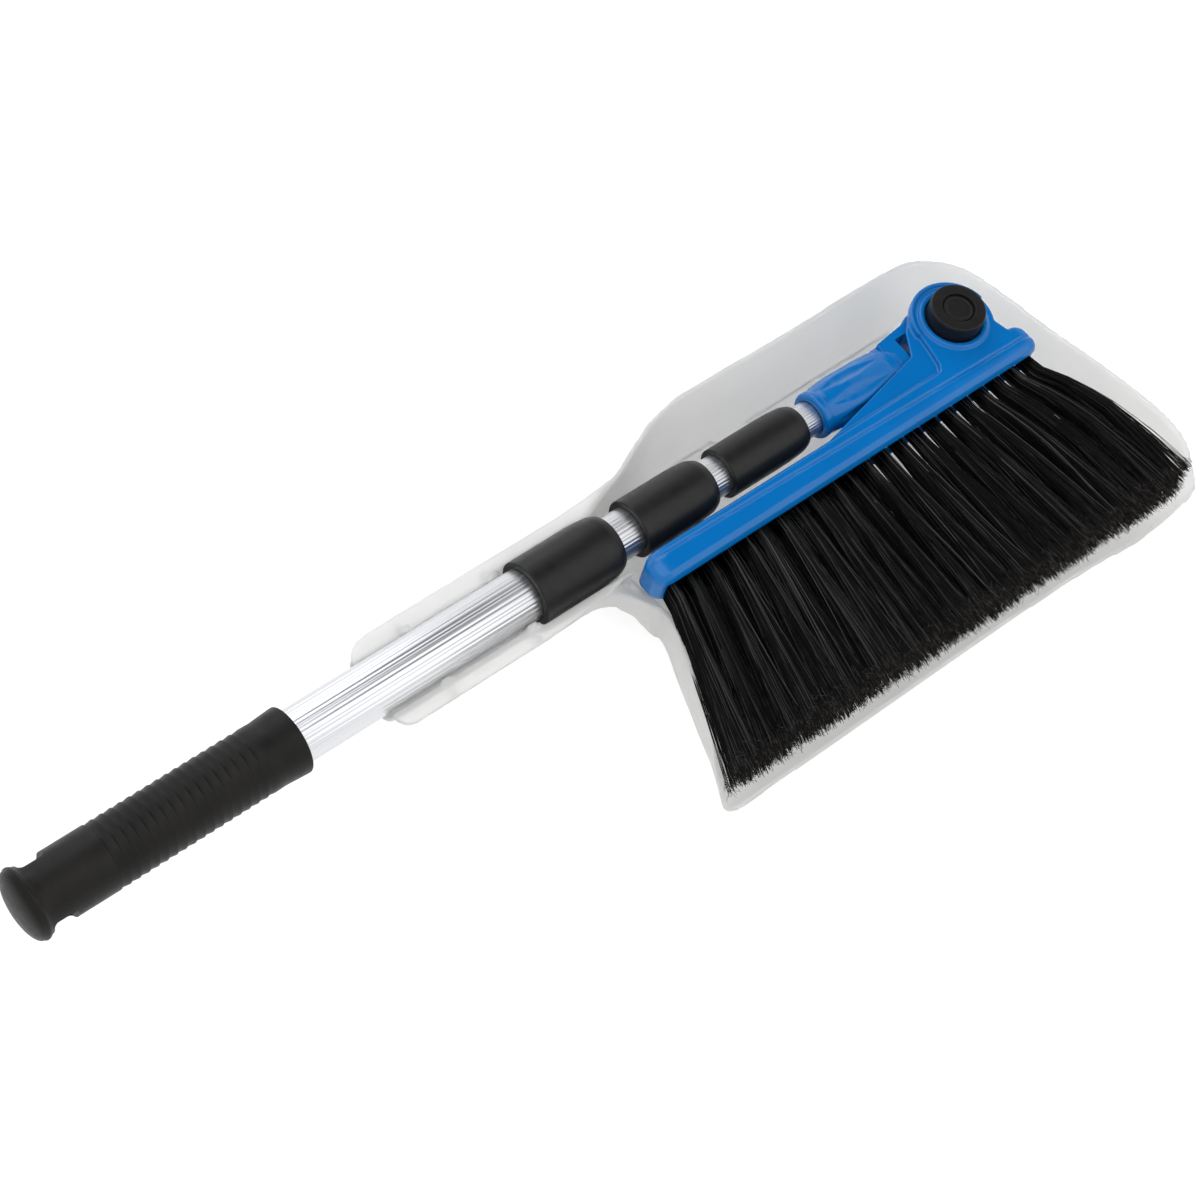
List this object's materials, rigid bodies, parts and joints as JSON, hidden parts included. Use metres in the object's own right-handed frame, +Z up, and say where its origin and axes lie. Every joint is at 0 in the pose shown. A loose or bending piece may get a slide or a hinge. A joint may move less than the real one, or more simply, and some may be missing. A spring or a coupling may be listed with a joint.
{
  "type": "dust pan and brush set",
  "caption": "Dust pan with a fold-away telescopic brush stored in its handle trough: twist-lock tubes, push-button folding brush head, hang slot.",
  "frame": {"origin": "on the flat underside of the pan, below the handle's axis, at the middle of the base's length", "axes": "+Y along the handle from the grip to the brush head, +X from the handle to the pan's lip and bristle tips, +Z up"},
  "size_m": [0.1965, 0.68, 0.0692],
  "materials": {
    "frosted_plastic": "frosted translucent polypropylene",
    "black_plastic": "satin",
    "fluted_aluminium": "bright, finely fluted lengthwise",
    "blue_plastic": "gloss moulded",
    "white_acetal": "plain moulded",
    "plated_steel": "zinc plated",
    "bristle_fibre": "fine crimped filament with split tips"
  },
  "bodies": {
    "dustpan": {"dustpan": "frosted_plastic"},
    "tube_1": {"grip": "black_plastic", "tube_1": "fluted_aluminium", "collet_1": "white_acetal"},
    "collar_1": {"twist_collar_1": "black_plastic"},
    "tube_2": {"tube_2": "fluted_aluminium", "end_plug_2": "white_acetal", "collet_2": "white_acetal"},
    "collar_2": {"twist_collar_2": "black_plastic"},
    "tube_3": {"tube_3": "fluted_aluminium", "end_plug_3": "white_acetal", "collet_3": "white_acetal"},
    "collar_3": {"twist_collar_3": "black_plastic"},
    "tube_4": {"tube_4": "fluted_aluminium", "end_plug_4": "white_acetal", "neck": "blue_plastic"},
    "brush_head": {"brush_head": "blue_plastic", "button_spring": "plated_steel", "spring_cover": "blue_plastic", "bristle_tuft_01": "bristle_fibre", "bristle_tuft_02": "bristle_fibre", "bristle_tuft_03": "bristle_fibre", "bristle_tuft_04": "bristle_fibre", "bristle_tuft_05": "bristle_fibre", "bristle_tuft_06": "bristle_fibre", "bristle_tuft_07": "bristle_fibre", "bristle_tuft_08": "bristle_fibre", "bristle_tuft_09": "bristle_fibre", "bristle_tuft_10": "bristle_fibre", "bristle_tuft_11": "bristle_fibre", "bristle_tuft_12": "bristle_fibre", "bristle_tuft_13": "bristle_fibre", "bristle_tuft_14": "bristle_fibre", "bristle_tuft_15": "bristle_fibre", "bristle_tuft_16": "bristle_fibre", "bristle_tuft_17": "bristle_fibre", "bristle_tuft_18": "bristle_fibre", "bristle_tuft_19": "bristle_fibre", "bristle_tuft_20": "bristle_fibre", "bristle_tuft_21": "bristle_fibre", "bristle_tuft_22": "bristle_fibre"},
    "fold_button": {"fold_button": "black_plastic", "lock_gear": "white_acetal", "button_screw": "plated_steel"}
  },
  "joints": [
    {"name": "broom_lift", "type": "slide", "parent": "dustpan", "child": "tube_1", "axis": [0, 0, 1], "range_m": [0, 0.12]},
    {"name": "collar_1_twist", "type": "hinge", "parent": "tube_1", "child": "collar_1", "pos_m": [0, -0.182, 0.046], "axis": [0, 1, 0], "range_deg": [0, 90]},
    {"name": "tube_2_slide", "type": "slide", "parent": "tube_1", "child": "tube_2", "axis": [0, 1, 0], "range_m": [0, 0.237]},
    {"name": "collar_2_twist", "type": "hinge", "parent": "tube_2", "child": "collar_2", "pos_m": [0, -0.117, 0.046], "axis": [0, 1, 0], "range_deg": [0, 90]},
    {"name": "tube_3_slide", "type": "slide", "parent": "tube_2", "child": "tube_3", "axis": [0, 1, 0], "range_m": [0, 0.237]},
    {"name": "collar_3_twist", "type": "hinge", "parent": "tube_3", "child": "collar_3", "pos_m": [0, -0.055, 0.046], "axis": [0, 1, 0], "range_deg": [0, 90]},
    {"name": "tube_4_slide", "type": "slide", "parent": "tube_3", "child": "tube_4", "axis": [0, 1, 0], "range_m": [0, 0.237]},
    {"name": "head_fold", "type": "hinge", "parent": "tube_4", "child": "brush_head", "pos_m": [0, 0.0834, 0.046], "axis": [0, 0, 1], "range_deg": [0, 90]},
    {"name": "button_press", "type": "slide", "parent": "brush_head", "child": "fold_button", "axis": [0, 0, -1], "range_m": [0, 0.003], "stiffness_N_per_m": 1200, "springref_m": -0.002, "deforming": ["button_spring"]}
  ]
}
